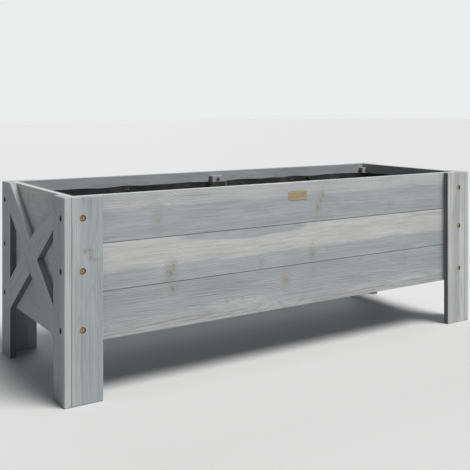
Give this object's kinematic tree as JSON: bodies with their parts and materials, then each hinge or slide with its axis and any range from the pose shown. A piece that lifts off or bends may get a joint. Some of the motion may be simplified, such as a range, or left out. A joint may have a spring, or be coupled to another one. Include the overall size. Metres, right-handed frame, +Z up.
{
  "type": "raised planter",
  "caption": "Long wooden planter box on short corner legs, with an X brace on each end, a slatted floor and a fabric liner.",
  "frame": {"origin": "on the ground, in the middle of the plan", "axes": "+X along the length, +Y from front to rear, +Z up"},
  "size_m": [1, 0.364, 0.3525],
  "materials": {
    "leg_wood": "grey-washed fir, vertical or diagonal grain, matt",
    "panel_wood": "grey-washed fir, lengthwise grain, matt",
    "inner_wood": "grey-washed fir, sawn, matt",
    "gold_zinc_screws": "yellow zinc plating",
    "black_liner": "black non-woven liner",
    "staple_wire": "bright galvanised wire",
    "plate_brass": "blank plate, satin"
  },
  "bodies": {
    "root": {"batten_screws": "gold_zinc_screws", "brace_screws": "gold_zinc_screws", "cleat_screws": "gold_zinc_screws", "corner_cleat_front_left": "inner_wood", "corner_cleat_front_right": "inner_wood", "corner_cleat_rear_left": "inner_wood", "corner_cleat_rear_right": "inner_wood", "face_screws": "gold_zinc_screws", "floor_slat_01": "inner_wood", "floor_slat_02": "inner_wood", "floor_slat_03": "inner_wood", "floor_slat_04": "inner_wood", "floor_slat_05": "inner_wood", "floor_slat_06": "inner_wood", "floor_slat_07": "inner_wood", "floor_slat_08": "inner_wood", "floor_slat_09": "inner_wood", "floor_slat_10": "inner_wood", "front_batten": "inner_wood", "front_board_lower": "panel_wood", "front_board_middle": "panel_wood", "front_board_upper": "panel_wood", "front_floor_rail": "inner_wood", "left_brace_over": "leg_wood", "left_brace_under": "leg_wood", "left_end_board_lower": "panel_wood", "left_end_board_middle": "panel_wood", "left_end_board_upper": "panel_wood", "leg_face_front_left": "leg_wood", "leg_face_front_right": "leg_wood", "leg_face_rear_left": "leg_wood", "leg_face_rear_right": "leg_wood", "leg_side_front_left": "leg_wood", "leg_side_front_right": "leg_wood", "leg_side_rear_left": "leg_wood", "leg_side_rear_right": "leg_wood", "liner": "black_liner", "liner_staples": "staple_wire", "name_plate": "plate_brass", "rail_screws": "gold_zinc_screws", "rear_batten": "inner_wood", "rear_board_lower": "panel_wood", "rear_board_middle": "panel_wood", "rear_board_upper": "panel_wood", "rear_floor_rail": "inner_wood", "right_brace_over": "leg_wood", "right_brace_under": "leg_wood", "right_end_board_lower": "panel_wood", "right_end_board_middle": "panel_wood", "right_end_board_upper": "panel_wood", "side_screws": "gold_zinc_screws", "slat_screws": "gold_zinc_screws"}
  },
  "joints": []
}
